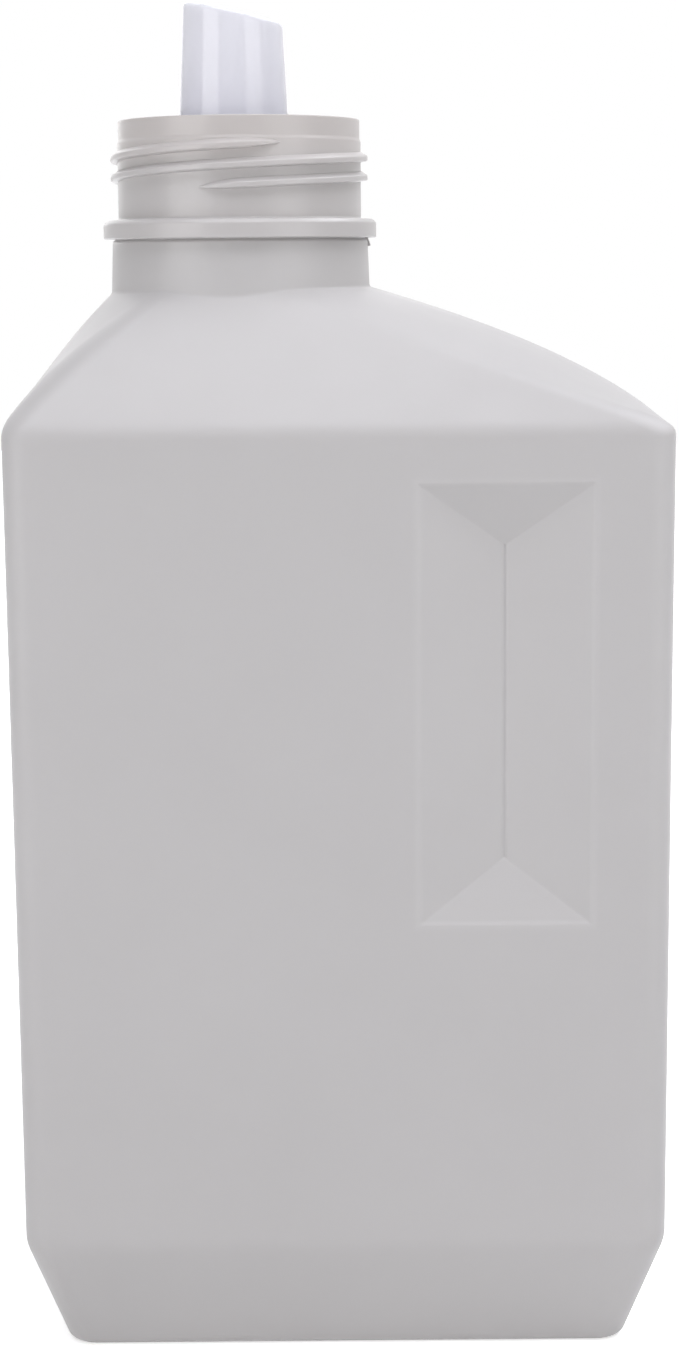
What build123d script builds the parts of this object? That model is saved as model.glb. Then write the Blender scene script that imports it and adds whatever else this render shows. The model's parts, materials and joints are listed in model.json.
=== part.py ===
from build123d import *
import math
import os

# Laundry detergent dispenser: a blown bottle with its screw cap off and a pour spout pressed in its neck.
# Millimetres, +Z up, origin at the middle of the base. The front is -Y and the grip side is +X.

# Body of the bottle
body_width = 111.2
body_depth = 76.0
body_top = 162.8  # height of the edge where the shoulder starts
corner_radius = 4.2  # upright edges
body_wall = 1.3
foot_height = 21.9
foot_inset = 6.9  # how far the tapered foot draws in on each side
foot_crease_reach = 1.5  # how far the rounded crease runs up and down from its middle
base_edge_radius = 2.6
push_up_depth = 2.5  # hollow under the base
push_up_taper = 30.0
standing_ring_width = 7.0

# Shoulder, a hipped roof that turns from the oblong body into the round neck
shoulder_rise = 21.8
shoulder_edge_reach = 2.3  # how far the rounded edge runs down the wall and up the slope
crown_level = 0.485  # share of the rise at which the middle section lies
grip_side_crown = 5.4  # how far the grip-side slope stands out from a straight one
grip_ridge_turn = 36.0  # degrees that the grip-side ridge turns at the middle section
grip_ridge_radius = 8.0
pour_side_crown = 1.4
pour_ridge_turn = 76.0
pour_ridge_radius = 6.0
grip_ridge_angle = 23.0  # where the ridges reach the neck, in degrees from its front
pour_ridge_angle = 33.0
ridge_end_spread = 5.0
slope_sections = 5  # sections that the slopes are lofted through

# Neck, with a collar under the thread
neck_offset = -17.0  # the neck stands towards the pouring side
neck_height = 28.4  # from the top of the shoulder to the rim
neck_root_radius = 23.0
neck_root_depth = 8.0  # how far the neck runs down inside the shoulder, before it is hollowed
neck_root_fillet = 1.0
neck_overlap = 1.5  # how far the shoulder runs on inside the neck
under_collar_radius = 22.4
thread_root_radius = 21.3
rim_band_radius = 21.1
rim_band_height = 3.3
rim_band_bevel = 0.5
rim_edge_radius = 0.4
collar_radius = 23.95
collar_drop = 16.4  # from the rim to the top of the collar
collar_bevel = 0.7
collar_thickness = 3.1
collar_edge_radius = 0.35
bore_radius = 19.0

# Two-start neck thread with tapered run-outs
thread_starts = 2
thread_lead = 6.6
thread_turns = 1.1
thread_height = 1.2
thread_crest_width = 0.9
thread_upper_flank = 1.0
thread_lower_flank = 0.5
thread_drop = 11.9  # from the rim to the start of a thread
thread_start_angle = -17.0  # degrees round from the front
thread_run_out = 28.0
thread_bury = 0.5
thread_sections_per_turn = 32

# Grip recess, an upside-down hipped roof pressed into the front and the back
recess_width = 28.6
recess_height = 74.2
recess_depth = 4.5
recess_hip_run = 10.4
recess_from_side = 13.8  # from the grip side of the body to the recess
recess_from_base = 78.3
recess_edge_radius = 3.0

# Pour spout, one moulding: flange, skirt, drain-back well and conical tube
flange_width = 1.0  # how far the flange reaches over the step in the mouth
flange_thickness = 1.2
flange_sink = 0.1  # flange top below the rim
fit_clearance = 0.05
skirt_wall = 1.3
well_depth = 15.0
well_floor_thickness = 1.3
well_floor_slope = 8.0
tube_offset = -0.9  # the tube stands off the neck's axis towards the pouring side
tube_radius = 9.6  # at the rim
tube_taper = 2.7
tube_wall = 1.2
tube_rise = 18.2  # from the rim to the cut, on the tube's axis
tube_cut_angle = 12.4
tube_lip_bevel = 0.35
drain_width = 6.0
drain_height = 7.0

# Places that follow from the sizes above
shoulder_top = body_top + shoulder_rise
rim = shoulder_top + neck_height
collar_top = rim - collar_drop
collar_bottom = collar_top - collar_bevel - collar_thickness
shoulder_top_radius = neck_root_radius - neck_overlap
neck_axis = Location((neck_offset, 0, 0))
mouth_step = rim - flange_thickness - flange_sink  # step in the mouth that carries the flange
recess_x = body_width / 2 - recess_from_side - recess_width / 2
recess_z = recess_from_base + recess_height / 2
tube_x = neck_offset + tube_offset


def on_circle(x, y, radius, angle, z):
    """Point on a level circle, the angle in degrees from the front (-Y) towards the grip side (+X)."""
    turn = math.radians(angle)
    return Vector(x + radius * math.sin(turn), y - radius * math.cos(turn), z)


def section(front, grip_ridge, grip_side, pour_ridge, pour_side):
    """Sixteen points of a level section: ends and middles of eight edges, in order round the bottle.

    A ridge is given by its front end, middle and rear end, and the back half mirrors the front.
    """
    back = [Vector(p.X, -p.Y, p.Z) for p in (*reversed(grip_ridge), front, *pour_ridge)]
    return [*grip_ridge, grip_side, *back, pour_side, *reversed(pour_ridge), front]


def oblong_section(inset, z, corner):
    """Rounded oblong of the body, drawn in by inset on every side."""
    half_width, half_depth = body_width / 2 - inset, body_depth / 2 - inset
    grip = [on_circle(half_width - corner, corner - half_depth, corner, angle, z) for angle in (0, 45, 90)]
    pour = [Vector(-p.X, p.Y, z) for p in grip]
    return section(Vector(0, -half_depth, z), grip, Vector(half_width, 0, z), pour, Vector(-half_width, 0, z))


def ridge(half_depth, reach, turn, radius, z):
    """Arc from the flat front into a round side that is centred on the X axis and reaches x = reach."""
    angle = math.radians(turn)
    side_radius = (half_depth - radius * (1 - math.cos(angle))) / math.cos(angle)
    centre_x = reach - side_radius + (side_radius - radius) * math.sin(angle)
    return [on_circle(centre_x, radius - half_depth, radius, turn * share, z) for share in (0, 0.5, 1)]


def crown_section(inset, z):
    """Middle section of the shoulder: flat front, soft ridges and rounded sides."""
    def drawn_in(low, high):
        return low + (high - low) * crown_level - inset

    half_depth = drawn_in(body_depth / 2, shoulder_top_radius)
    pour_reach = drawn_in(body_width / 2, shoulder_top_radius - neck_offset) + pour_side_crown
    grip_reach = drawn_in(body_width / 2, shoulder_top_radius + neck_offset) + grip_side_crown
    grip = ridge(half_depth, grip_reach, grip_ridge_turn, grip_ridge_radius, z)
    pour = ridge(half_depth, pour_reach, pour_ridge_turn, pour_ridge_radius, z)
    pour = [Vector(-p.X, p.Y, z) for p in pour]
    return section((grip[0] + pour[0]) / 2, grip, Vector(grip_reach, 0, z), pour, Vector(-pour_reach, 0, z))


def neck_section(radius, z):
    """The round top of the shoulder, split where the ridges end."""
    def at(angle):
        return on_circle(neck_offset, 0, radius, angle, z)

    spreads = (-ridge_end_spread, 0, ridge_end_spread)
    grip = [at(grip_ridge_angle + spread) for spread in spreads]
    pour = [at(-pour_ridge_angle - spread) for spread in spreads]
    return section(at((grip_ridge_angle - pour_ridge_angle) / 2), grip, at(90), pour, at(-90))


def between(low, high, share):
    """Section part of the way from one section to another."""
    return [start + (end - start) * share for start, end in zip(low, high)]


def bend(before, edge, after):
    """Three sections that round an edge: a loft through them leaves and arrives in line with its sides."""
    return [before, [(a + e * 2 + b) / 4 for a, e, b in zip(before, edge, after)], after]


def wire(points):
    """Closed wire of eight edges, each a line or an arc through three of the points."""
    edges = []
    for start, middle, end in zip(points[::2], points[1::2], points[2::2] + points[:1]):
        straight = (middle - start).cross(end - start).length < 1e-6
        if straight:
            edges.append(Edge.make_line(start, end))
        else:
            edges.append(Edge.make_three_point_arc(start, middle, end))
    return Wire(edges)


def loft_through(sections, ruled=False):
    return Solid.make_loft([wire(points) for points in sections], ruled)


def body_solid(inset, floor, drop):
    """Foot, body and shoulder as one solid, drawn in by inset and by drop under the shoulder."""
    corner = corner_radius - inset
    foot_length = foot_height - floor
    base = oblong_section(inset + foot_inset * foot_length / foot_height, floor, corner)
    crease = oblong_section(inset, foot_height, corner)
    edge = oblong_section(inset, body_top - drop, corner)
    crown = crown_section(inset, body_top + shoulder_rise * crown_level - drop)
    top = neck_section(shoulder_top_radius - inset, shoulder_top - drop)

    def slope(share):
        """Section at a share of the shoulder's rise, on parabolas through edge, crown and top."""
        at_edge = (share - crown_level) * (share - 1) / crown_level
        at_crown = share * (share - 1) / (crown_level * (crown_level - 1))
        at_top = share * (share - crown_level) / (1 - crown_level)
        return [e * at_edge + c * at_crown + t * at_top for e, c, t in zip(edge, crown, top)]

    crease_share = foot_crease_reach / foot_length
    crease_bend = bend(between(crease, base, crease_share), crease,
                       oblong_section(inset, foot_height + foot_crease_reach, corner))
    edge_share = shoulder_edge_reach / shoulder_rise
    edge_bend = bend(oblong_section(inset, body_top - drop - shoulder_edge_reach, corner), edge,
                     slope(edge_share))
    foot = loft_through([base, crease_bend[0]], ruled=True)
    wall = loft_through([crease_bend[-1], edge_bend[0]], ruled=True)
    slope_steps = slope_sections - 1
    shares = [edge_share + (1 - edge_share) * step / slope_steps for step in range(slope_sections)]
    roof = loft_through([slope(share) for share in shares])
    return foot.fuse(loft_through(crease_bend), wall, loft_through(edge_bend), roof)


def turned(outline):
    """Solid turned about the neck's axis from a face drawn in the XZ plane."""
    return revolve(outline, Axis.Z).moved(neck_axis)


def outline_of(*points):
    """Face in the XZ plane from its (radius, height) points."""
    return make_face(Plane.XZ * Polyline(*points, close=True))


def neck_solid():
    """Outside of the neck: root, collar, thread land and rim band."""
    foot = shoulder_top - neck_root_depth
    band_bottom = rim - rim_band_height
    outline = outline_of(
        (0, foot), (neck_root_radius, foot), (under_collar_radius, collar_bottom),
        (collar_radius, collar_bottom), (collar_radius, collar_top - collar_bevel),
        (thread_root_radius, collar_top), (thread_root_radius, band_bottom - rim_band_bevel),
        (rim_band_radius, band_bottom), (rim_band_radius, rim), (0, rim))
    outline = fillet(outline.vertices().group_by(Axis.X)[-1], collar_edge_radius)
    outline = fillet(outline.vertices().group_by(Axis.Z)[-1].sort_by(Axis.X)[-1], rim_edge_radius)
    return turned(outline).solid()


def thread_solid(start_angle):
    """One thread ridge, lofted along its helix and sunk into the neck at both ends."""
    sweep_angle = 360 * thread_turns
    steps = round(thread_sections_per_turn * thread_turns)
    half_crest = thread_crest_width / 2
    root = thread_root_radius - thread_bury
    wires = []
    for step in range(steps + 1):
        along = sweep_angle * step / steps
        share = min(1, along / thread_run_out, (sweep_angle - along) / thread_run_out)
        crest = root + thread_bury / 2 + (thread_height + thread_bury / 2) * share
        height = rim - thread_drop + thread_lead * along / 360
        outline = ((root, half_crest + thread_upper_flank), (crest, half_crest),
                   (crest, -half_crest), (root, -half_crest - thread_lower_flank))
        angle = start_angle + along
        corners = [on_circle(neck_offset, 0, radius, angle, height + up) for radius, up in outline]
        wires.append(Wire.make_polygon(corners))
    return Solid.make_loft(wires)


def recess_solid(side, grow):
    """Hipped wedge that presses the grip recess into the front (side -1) or the back (side 1)."""
    side_slope = recess_depth / (recess_width / 2)
    hip_slope = recess_depth / recess_hip_run
    depth = recess_depth + grow * math.hypot(1, side_slope)
    length = 2 * depth  # half of the wedge stands outside the face that it cuts
    half_width = length / side_slope
    half_valley = recess_height / 2 - recess_hip_run
    half_height = half_valley + length / hip_slope
    wedge = Solid.make_wedge(2 * half_width, length, 2 * half_height,
                             half_width, half_height - half_valley, half_width, half_height + half_valley)
    wedge = wedge.moved(Location((-half_width, -length, -half_height)))
    place = (recess_x, side * (body_depth / 2 - depth), recess_z)
    return wedge.moved(Location(place, (0, 0, 180 if side > 0 else 0)))


def push_up_solid(grow):
    """Shallow hollow in the base, which leaves a standing ring round it."""
    inset = foot_inset + standing_ring_width - grow
    outline = RectangleRounded(body_width - 2 * inset, body_depth - 2 * inset, standing_ring_width)
    return extrude(outline, push_up_depth + grow, taper=push_up_taper).solid()


def cavity_solid():
    """Inside of the bottle: the body drawn in by the wall, and the stepped bore of the neck."""
    drop = body_wall / 2
    inside = body_solid(body_wall, body_wall, drop)
    inside = inside.cut(recess_solid(-1, body_wall), recess_solid(1, body_wall), push_up_solid(body_wall))
    throat_radius = shoulder_top_radius - body_wall
    throat = shoulder_top - drop
    mouth_radius = bore_radius + flange_width
    above = rim + flange_thickness
    bore = outline_of((0, throat), (throat_radius, throat), (throat_radius, collar_bottom),
                      (bore_radius, collar_top), (bore_radius, mouth_step), (mouth_radius, mouth_step),
                      (mouth_radius, above), (0, above))
    return inside.fuse(turned(bore).solid())


def on_recess_rim(edge, face):
    """Whether an edge lies in the plane y = face, on the outline of the grip recess."""
    box = edge.bounding_box()
    flat = abs(box.min.Y - face) < 1e-3 and abs(box.max.Y - face) < 1e-3
    beside = abs(box.center().X - recess_x) < recess_width / 2 + 1e-3
    level = abs(box.center().Z - recess_z) < recess_height / 2 + 1e-3
    return flat and beside and level


def on_neck_root(edge):
    """Whether an edge lies where the neck stands on the shoulder."""
    box = edge.bounding_box()
    middle = edge.position_at(0.5)
    level = box.min.Z > shoulder_top - neck_root_depth and box.max.Z < shoulder_top + neck_root_fillet
    radius = math.hypot(middle.X - neck_offset, middle.Y)
    return level and under_collar_radius - 1e-3 < radius < neck_root_radius + 1e-3


def bottle():
    """The blown bottle, one hollow solid with its neck thread."""
    shell = body_solid(0, 0, 0)
    shell = shell.fillet(base_edge_radius, shell.edges().group_by(Axis.Z)[0])
    for side in (-1, 1):
        shell = shell.cut(recess_solid(side, 0))
        rim_edges = [edge for edge in shell.edges() if on_recess_rim(edge, side * body_depth / 2)]
        shell = shell.fillet(recess_edge_radius, rim_edges)
    shell = shell.fuse(neck_solid())
    shell = shell.fillet(neck_root_fillet, [edge for edge in shell.edges() if on_neck_root(edge)])
    shell = shell.cut(push_up_solid(0), cavity_solid())
    starts = [thread_start_angle + 360 * start / thread_starts for start in range(thread_starts)]
    return shell.fuse(*[thread_solid(angle) for angle in starts])


def tube_cone(inset, bottom):
    """Cone of the pour tube, drawn in by inset, with its top left long."""
    top = rim + 2 * tube_rise
    draft = math.tan(math.radians(tube_taper))
    radii = [tube_radius - inset - draft * (height - rim) for height in (bottom, top)]
    return Part() + Solid.make_cone(*radii, top - bottom, Plane((tube_x, 0, bottom)))


def tilted_plane(x, z, angle):
    """Plane through (x, 0, z) that falls towards the grip side."""
    return Plane((x, 0, z), x_dir=(0, 1, 0), z_dir=Vector(0, 0, 1).rotate(Axis.Y, angle))


def pour_spout():
    """The pour spout, one moulding that hangs by its flange in the mouth of the neck."""
    skirt_radius = bore_radius - fit_clearance
    well_radius = skirt_radius - skirt_wall
    flange_radius = bore_radius + flange_width - fit_clearance
    flange_top = mouth_step + flange_thickness
    low = rim - 2 * well_depth
    floor_plane = tilted_plane(neck_offset, rim - well_depth, well_floor_slope)
    under_plane = floor_plane.offset(-well_floor_thickness)
    cut_plane = tilted_plane(tube_x, rim + tube_rise, tube_cut_angle)

    cup = turned(outline_of((0, low), (skirt_radius, low), (skirt_radius, mouth_step),
                            (flange_radius, mouth_step), (flange_radius, flange_top), (0, flange_top)))
    well = turned(outline_of((0, low), (well_radius, low), (well_radius, rim), (0, rim)))
    tube = split(split(tube_cone(0, low), under_plane, Keep.TOP), cut_plane, Keep.BOTTOM)
    spout = split(cup, under_plane, Keep.TOP) - split(well, floor_plane, Keep.TOP) + tube
    spout = spout - tube_cone(tube_wall, low)

    drain_x = tube_x + tube_radius
    drain_floor = rim - well_depth - math.tan(math.radians(well_floor_slope)) * (drain_x - neck_offset)
    drain = Box(4 * tube_wall, drain_width, drain_height, align=(Align.CENTER, Align.CENTER, Align.MIN))
    spout = spout - Pos(drain_x, 0, drain_floor) * drain
    lip_edges = [edge for edge in spout.edges() if edge.bounding_box().min.Z > rim + tube_rise / 2]
    return chamfer(lip_edges, tube_lip_bevel)


os.makedirs("parts", exist_ok=True)
for node, piece in (("bottle", bottle()), ("pour_spout", pour_spout())):
    export_step(piece, f"parts/{node}.step")
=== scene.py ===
# %% [markdown]
# # Dressing a laundry detergent dispenser in Blender
# The object is a blown bottle of pale grey plastic. Its cap is off, so a white pour spout stands open in
# its neck. The CAD model fixes the sizes and places. This lesson builds smoother, finer skins on those
# sizes, gives them their plastics, and lights them like a product on white paper.

# %% Load the CAD frame
import json
import math

import bmesh
import bpy
import numpy as np
from mathutils import Euler, Matrix, Vector

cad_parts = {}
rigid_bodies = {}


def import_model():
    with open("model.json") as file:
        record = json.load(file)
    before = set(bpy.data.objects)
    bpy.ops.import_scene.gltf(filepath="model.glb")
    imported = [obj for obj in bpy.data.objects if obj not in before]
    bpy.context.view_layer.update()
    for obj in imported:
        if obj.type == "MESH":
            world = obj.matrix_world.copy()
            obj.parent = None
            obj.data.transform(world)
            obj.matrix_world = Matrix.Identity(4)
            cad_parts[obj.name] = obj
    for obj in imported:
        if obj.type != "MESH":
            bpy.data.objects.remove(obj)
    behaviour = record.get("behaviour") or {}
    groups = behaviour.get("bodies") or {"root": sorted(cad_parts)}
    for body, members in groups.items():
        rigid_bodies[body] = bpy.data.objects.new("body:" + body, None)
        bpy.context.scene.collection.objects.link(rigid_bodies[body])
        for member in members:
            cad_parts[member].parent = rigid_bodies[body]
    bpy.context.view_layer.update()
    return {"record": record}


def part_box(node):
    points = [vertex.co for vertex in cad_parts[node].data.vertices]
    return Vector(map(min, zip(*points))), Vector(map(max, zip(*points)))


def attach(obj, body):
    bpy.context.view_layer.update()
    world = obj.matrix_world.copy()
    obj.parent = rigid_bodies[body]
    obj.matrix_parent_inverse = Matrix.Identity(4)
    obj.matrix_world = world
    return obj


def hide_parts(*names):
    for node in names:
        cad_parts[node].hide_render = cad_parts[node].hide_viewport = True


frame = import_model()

mm = 0.001  # the shapes below are in millimetres, and Blender works in metres

# %% [markdown]
# ## The camera
# The lens and the place come from matching the outline of the real bottle: it was photographed from close
# by, at the height of its neck, looking a little down. Blender measures a lens against the longer side of
# the picture, so the focal length in pixels is divided by the height.

# %% Camera at the photograph's viewpoint
photo_height = 1345
focal_pixels = 2448
camera_place = Vector((-0.0002, -0.438, 0.1899))
camera_tilt = 9.7  # degrees below the horizon
camera_roll = 0.5  # degrees that upright things lean to the left in the picture

scene = bpy.context.scene
camera_data = bpy.data.cameras.new("camera")
camera_data.sensor_width = 36
camera_data.lens = camera_data.sensor_width * focal_pixels / photo_height
camera = bpy.data.objects.new("camera", camera_data)
aim = Euler((math.radians(90 - camera_tilt), 0, 0)).to_matrix().to_4x4()
lean = Matrix.Rotation(math.radians(-camera_roll), 4, "Z")
camera.matrix_world = Matrix.Translation(camera_place) @ aim @ lean
scene.collection.objects.link(camera)
scene.camera = camera
scene.view_settings.view_transform = "Standard"
print("lens", round(camera_data.lens, 1), "mm")

# %% [markdown]
# ## Floor and background
# Product pictures on white have a bright, even ground. More light would whiten it, but it would bleach the
# bottle too, so another way is used here. The world lights very gently, but the camera, mirrors and clear
# plastic see it as plain white: Light Path tells these rays apart. The floor is paper that takes the
# bottle's shadow, with a glow for the same rays, weaker beside the bottle, so that the shadow stays.

# %% Helpers for node trees and materials
def feed(tree, socket, value):
    """Links another socket to a node's input, or sets the input to a plain value."""
    if isinstance(value, bpy.types.NodeSocket):
        tree.links.new(value, socket)
    else:
        socket.default_value = value


def node(tree, kind, **values):
    """New node of a kind. A value sets a property, or feeds an input where the name starts with in_."""
    made = tree.nodes.new(kind)
    for name, value in values.items():
        if name.startswith("in_"):
            feed(tree, made.inputs[name[3:].replace("_", " ")], value)
        else:
            setattr(made, name, value)
    return made


def calculate(tree, operation, first, second=0):
    """Socket with the result of a Math node. Each side is a socket or a number."""
    made = node(tree, "ShaderNodeMath", operation=operation)
    for side, value in zip(made.inputs, (first, second)):
        feed(tree, side, value)
    return made.outputs[0]


def new_finish(name):
    """Empty material, its node tree and the object's own coordinates."""
    material = bpy.data.materials.new(name)
    material.use_nodes = True
    tree = material.node_tree
    tree.nodes.clear()
    return material, tree, node(tree, "ShaderNodeTexCoord").outputs["Object"]


def seen_directly(tree):
    """Socket that is 1 for camera, glossy and transmission rays, and 0 for the rays that light things."""
    kinds = node(tree, "ShaderNodeLightPath").outputs
    mirrored = calculate(tree, "MAXIMUM", kinds["Is Glossy Ray"], kinds["Is Transmission Ray"])
    return calculate(tree, "MAXIMUM", kinds["Is Camera Ray"], mirrored)


# %% World: gentle light, white to look at
world_light = 0.01

world = bpy.data.worlds.new("white_room")
scene.world = world
world.use_nodes = True
tree = world.node_tree
tree.nodes.clear()
room_light = node(tree, "ShaderNodeBackground", in_Color=(1, 1, 1, 1), in_Strength=world_light)
room_white = node(tree, "ShaderNodeBackground", in_Color=(1, 1, 1, 1), in_Strength=1)
either = node(tree, "ShaderNodeMixShader")
for side, value in zip(either.inputs, (seen_directly(tree), room_light.outputs[0], room_white.outputs[0])):
    feed(tree, side, value)
node(tree, "ShaderNodeOutputWorld", in_Surface=either.outputs[0])
print("world light", world_light, "and white where it is seen")

# %% Floor of white paper
floor_size = 4.0
floor_glow = (0.58, 1.0)  # beside the bottle, and far from it
glow_reach = (0.12, 0.45)  # the distances in metres where the glow starts and stops growing
paper_white = (0.94, 0.94, 0.94, 1)

paper, tree, place = new_finish("floor_paper")
sheet = node(tree, "ShaderNodeBsdfDiffuse", in_Color=paper_white, in_Roughness=1)
distance = node(tree, "ShaderNodeVectorMath", operation="LENGTH", in_Vector=place)
far = node(tree, "ShaderNodeMapRange", in_Value=distance.outputs["Value"], in_From_Min=glow_reach[0],
           in_From_Max=glow_reach[1], in_To_Min=floor_glow[0], in_To_Max=floor_glow[1])
glow_level = calculate(tree, "MULTIPLY", seen_directly(tree), far.outputs["Result"])
glow = node(tree, "ShaderNodeEmission", in_Color=(1, 1, 1, 1), in_Strength=glow_level)
both = node(tree, "ShaderNodeAddShader")
for side, layer in zip(both.inputs, (sheet, glow)):
    feed(tree, side, layer.outputs[0])
node(tree, "ShaderNodeOutputMaterial", in_Surface=both.outputs[0])

half = floor_size / 2
floor_mesh = bpy.data.meshes.new("floor")
floor_corners = [(-half, -half, 0), (half, -half, 0), (half, half, 0), (-half, half, 0)]
floor_mesh.from_pydata(floor_corners, [], [(0, 1, 2, 3)])
floor_mesh.materials.append(paper)
floor = bpy.data.objects.new("floor", floor_mesh)
scene.collection.objects.link(floor)
print("floor", floor_size, "m wide")

# %% [markdown]
# ## Lamps
# Soft plastic wants large, soft lamps: a small one would make hard shadows and burnt spots. Two softboxes
# above light the shoulder, one at the right and one behind lift its slopes, and one at the back keeps the
# far side readable. Two pairs of strips in front light the body from the left and the right, and their
# reflections draw the two pale lines down the glossy spout.

# %% Softboxes
lamp_target = Vector((0, 0, 0.15))  # about the middle of the bottle


def softbox(name, place, width, height, watts, colour=(1, 1, 1)):
    """Area lamp that faces the middle of the bottle."""
    lamp = bpy.data.lights.new(name, "AREA")
    lamp.shape = "RECTANGLE"
    lamp.size = width
    lamp.size_y = height
    lamp.energy = watts
    lamp.color = colour
    box = bpy.data.objects.new(name, lamp)
    box.location = place
    box.rotation_euler = (lamp_target - Vector(place)).to_track_quat("-Z", "Y").to_euler()
    scene.collection.objects.link(box)
    print(name, watts, "W")


cool_white = (0.975, 0.985, 1.045)
warm_white = (1.0, 0.99, 0.98)
softbox("softbox_above", (0, -0.4, 2.2), 2.0, 2.0, 23.0, cool_white)
softbox("softbox_front_above", (0, -0.8, 1.5), 1.6, 0.8, 9.0, cool_white)
softbox("softbox_high_right", (0.9, -0.2, 1.0), 0.8, 0.8, 3.8)
softbox("softbox_behind", (0.6, 0.45, 1.1), 0.6, 0.6, 3.4, cool_white)
softbox("softbox_left", (-0.82, -0.74, 0.36), 0.74, 0.24, 1.5, warm_white)
softbox("softbox_right", (0.82, -0.74, 0.36), 0.74, 0.24, 1.0, warm_white)
softbox("softbox_low_left", (-0.82, -0.74, 0.10), 0.74, 0.20, 2.0, warm_white)
softbox("softbox_low_right", (0.82, -0.74, 0.10), 0.74, 0.20, 1.15, warm_white)
softbox("softbox_back", (-0.3, 1.05, 0.6), 1.0, 0.8, 2.4)

# %% [markdown]
# ## The bottle's skin
# The bottle is one blown shell: a tapered foot, an oblong body, a hipped shoulder that turns into the round
# neck, and a neck with a collar. Every level cut through it has the same eight edges, four ridges and four
# faces between them, so the skin is a grid: rings of points that climb the bottle, column by column. The
# same rule with a smaller outline makes the inside wall, and the two meet over the rim.

# %% Sizes of the bottle: the CAD's, apart from the foot and the edges, which follow the photograph
low, high = (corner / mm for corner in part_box("bottle"))
body_width, body_depth, rim = high.x - low.x, high.y - low.y, high.z
neck_offset = next(m["pos_m"][0] for m in frame["record"]["mounts"] if m["name"] == "neck_finish") / mm
wall = 1.3
corner_radius = 4.2
foot_height = 20.9
foot_inset = 6.7
foot_crease_reach = 1.5
base_edge_reach = 1.9
push_up_depth = 2.5
push_up_draft = math.tan(math.radians(30))
standing_ring_width = 7.0
neck_height = 28.4
shoulder_rise = 21.8
shoulder_top = rim - neck_height
body_top = shoulder_top - shoulder_rise
side_edge_sag, front_edge_sag = 0.6, 1.5  # how far the shoulder's edge hangs below its nominal level
side_edge_reach, front_edge_reach = 1.8, 1.4  # how far its rounding runs to each side
crown_level = 0.485
grip_side_crown = 5.4
grip_ridge_turn, grip_ridge_radius, grip_ridge_angle = 36, 8.0, 23
pour_side_crown = 1.4
pour_ridge_turn, pour_ridge_radius, pour_ridge_angle = 76, 6.0, 33
ridge_end_spread = 5
shoulder_top_radius = 21.5
print("body", round(body_width, 1), "x", round(body_depth, 1), "mm, rim at", round(rim, 1), "mm")

# %% Level sections: sixteen points, the ends and middles of eight edges
def on_circle(x, y, radius, angle, z):
    """Point on a level circle, the angle in degrees from the front (-Y) towards the grip side (+X)."""
    turn = math.radians(angle)
    return np.array((x + radius * math.sin(turn), y - radius * math.cos(turn), z))


def section(front, grip_ridge, grip_side, pour_ridge, pour_side):
    """All sixteen points from those of the front half, in order round the bottle."""
    back = [point * (1, -1, 1) for point in (*grip_ridge[::-1], front, *pour_ridge)]
    return np.array([*grip_ridge, grip_side, *back, pour_side, *pour_ridge[::-1], front])


def oblong_section(inset, z, corner):
    """Rounded oblong of the body, drawn in by inset on every side."""
    half_width, half_depth = body_width / 2 - inset, body_depth / 2 - inset
    grip = [on_circle(half_width - corner, corner - half_depth, corner, angle, z) for angle in (0, 45, 90)]
    pour = [point * (-1, 1, 1) for point in grip]
    return section(np.array((0, -half_depth, z)), grip, np.array((half_width, 0, z)),
                   pour, np.array((-half_width, 0, z)))


print("points in a section:", len(oblong_section(0, 0, corner_radius)))


# %% Sections of the shoulder and the neck
def ridge(half_depth, reach, turn, radius, z):
    """Arc from the flat front into a round side that is centred on the X axis and reaches x = reach."""
    angle = math.radians(turn)
    side_radius = (half_depth - radius * (1 - math.cos(angle))) / math.cos(angle)
    centre_x = reach - side_radius + (side_radius - radius) * math.sin(angle)
    return [on_circle(centre_x, radius - half_depth, radius, turn * share, z) for share in (0, 0.5, 1)]


def crown_section(inset, z):
    """Middle section of the shoulder: flat front, soft ridges and rounded sides."""
    def drawn_in(below, above):
        return below + (above - below) * crown_level - inset

    half_depth = drawn_in(body_depth / 2, shoulder_top_radius)
    pour_reach = drawn_in(body_width / 2, shoulder_top_radius - neck_offset) + pour_side_crown
    grip_reach = drawn_in(body_width / 2, shoulder_top_radius + neck_offset) + grip_side_crown
    grip = ridge(half_depth, grip_reach, grip_ridge_turn, grip_ridge_radius, z)
    pour = ridge(half_depth, pour_reach, pour_ridge_turn, pour_ridge_radius, z)
    pour = [point * (-1, 1, 1) for point in pour]
    return section((grip[0] + pour[0]) / 2, grip, np.array((grip_reach, 0, z)),
                   pour, np.array((-pour_reach, 0, z)))


def neck_section(radius, z):
    """The round top of the shoulder, split where the ridges end."""
    def at(angle):
        return on_circle(neck_offset, 0, radius, angle, z)

    spreads = (-ridge_end_spread, 0, ridge_end_spread)
    grip = [at(grip_ridge_angle + spread) for spread in spreads]
    pour = [at(-pour_ridge_angle - spread) for spread in spreads]
    return section(at((grip_ridge_angle - pour_ridge_angle) / 2), grip, at(90), pour, at(-90))


print("width of the crown:", round(np.ptp(crown_section(0, 0)[:, 0]), 1), "mm")

# %% Columns: where each edge of a section is divided
recess_width = 28.6
recess_height = 74.2
recess_side_margin = 13.8  # from its edge to the grip side
recess_level = 78.3  # of its lower edge
recess_depth = 4.5
recess_hip_run = 10.4
recess_edge_reach = 0.6  # how far the soft edge of the grip recess runs to each side
recess_x = body_width / 2 - recess_side_margin - recess_width / 2
recess_z = recess_level + recess_height / 2
support = 0.35  # a line this close to a soft edge keeps the flat beside it flat
back_edge, front_edge = 3, 7  # the flat ones of a section's eight edges
ridge_steps = 9
side_steps = 32
wide_step, fine_step = 3.2, 2.4  # between the columns of a flat face, far from and near the recess


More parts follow.
